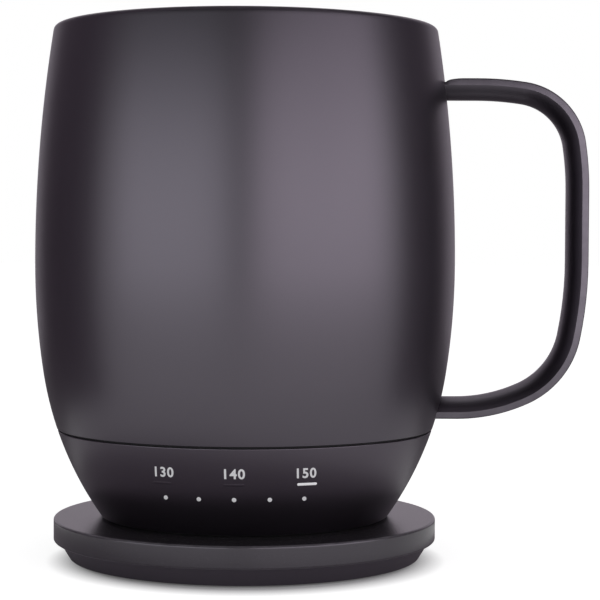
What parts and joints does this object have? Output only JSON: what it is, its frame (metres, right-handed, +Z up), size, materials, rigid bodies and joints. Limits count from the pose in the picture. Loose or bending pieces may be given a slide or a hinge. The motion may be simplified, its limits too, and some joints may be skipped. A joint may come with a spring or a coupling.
{
  "type": "self-heating mug with charging coaster",
  "caption": "Double-walled barrel mug with a strap handle and a heated base, standing on a round charging coaster; the mug lifts off, and its button and the sprung charge pins travel.",
  "frame": {"origin": "centre of the coaster's underside, on the mug's axis", "axes": "+Z up through the mouth, +X towards the handle, -Y towards the lights"},
  "size_m": [0.1214, 0.0926, 0.1169],
  "materials": {
    "body_coat": "satin charcoal coating",
    "cup_steel": "fine brushed",
    "base_coat": "satin charcoal",
    "coaster_plastic": "fine satin",
    "tray_plastic": "matte",
    "black_silicone": "matte",
    "red_silicone": "matte",
    "cover_plastic": "fine moulded grain",
    "button_plastic": "satin",
    "chassis_plastic": "moulded",
    "white_plastic": "moulded",
    "gold_contact": "plated",
    "board_green": "solder mask",
    "chip_black": "moulded",
    "fastener_steel": "plated",
    "cell_foil": "foil pouch",
    "spreader_aluminium": "milled",
    "insulation_felt": "pressed felt",
    "amber_film": "film",
    "lead_red": "insulated wire",
    "lead_white": "insulated wire",
    "lead_yellow": "insulated wire",
    "light_pale": "light guide",
    "light_lit": "light guide, lit",
    "light_dark": "light guide, unlit"
  },
  "bodies": {
    "coaster": {"coaster_top": "coaster_plastic", "coaster_base": "tray_plastic", "foot_pad": "black_silicone", "coaster_screws": "fastener_steel", "coaster_board": "board_green", "coaster_chips": "chip_black", "pin_block": "cover_plastic", "pin_barrels": "gold_contact", "pin_spring_inner": "fastener_steel", "pin_spring_outer": "fastener_steel", "cord_gland": "black_silicone"},
    "mug": {"outer_shell": "body_coat", "inner_cup": "cup_steel", "handle": "body_coat", "seam_gasket": "black_silicone", "base_shell": "base_coat", "foot_ring": "black_silicone", "base_screws": "fastener_steel", "bottom_cover": "cover_plastic", "bottom_seal": "red_silicone", "contact_ring_inner": "gold_contact", "contact_ring_outer": "gold_contact", "contact_posts": "gold_contact", "main_board": "board_green", "board_chips": "chip_black", "board_screws": "fastener_steel", "tact_switch": "chip_black", "button_boot": "black_silicone", "chassis": "chassis_plastic", "battery_cells": "cell_foil", "battery_board": "board_green", "battery_tabs": "fastener_steel", "battery_leads": "lead_red", "insulation_disc": "insulation_felt", "heater_film": "amber_film", "heat_spreader": "spreader_aluminium", "temperature_sensor": "chip_black", "sensor_leads": "lead_yellow", "heater_leads": "lead_white", "light_board": "board_green", "light_leds": "white_plastic", "light_ribbon": "amber_film", "charge_dots": "light_pale", "setting_bar_lit": "light_lit", "setting_bars_unlit": "light_dark"},
    "button": {"power_button": "button_plastic", "switch_plunger": "white_plastic"},
    "pin_inner": {"charge_pin_inner": "gold_contact"},
    "pin_outer": {"charge_pin_outer": "gold_contact"}
  },
  "joints": [
    {"name": "mug_lift", "type": "slide", "parent": "coaster", "child": "mug", "axis": [0, 0, 1], "range_m": [0, 0.15]},
    {"name": "button_press", "type": "slide", "parent": "mug", "child": "button", "axis": [0, 0, 1], "range_m": [0, 0.0006], "stiffness_N_per_m": 800, "springref_m": -0.0006, "deforming": ["button_boot"]},
    {"name": "pin_inner_travel", "type": "slide", "parent": "coaster", "child": "pin_inner", "axis": [0, 0, 1], "range_m": [-0.0007, 0], "stiffness_N_per_m": 600, "springref_m": 0.001, "deforming": ["pin_spring_inner"]},
    {"name": "pin_outer_travel", "type": "slide", "parent": "coaster", "child": "pin_outer", "axis": [0, 0, 1], "range_m": [-0.0007, 0], "stiffness_N_per_m": 600, "springref_m": 0.001, "deforming": ["pin_spring_outer"]}
  ]
}
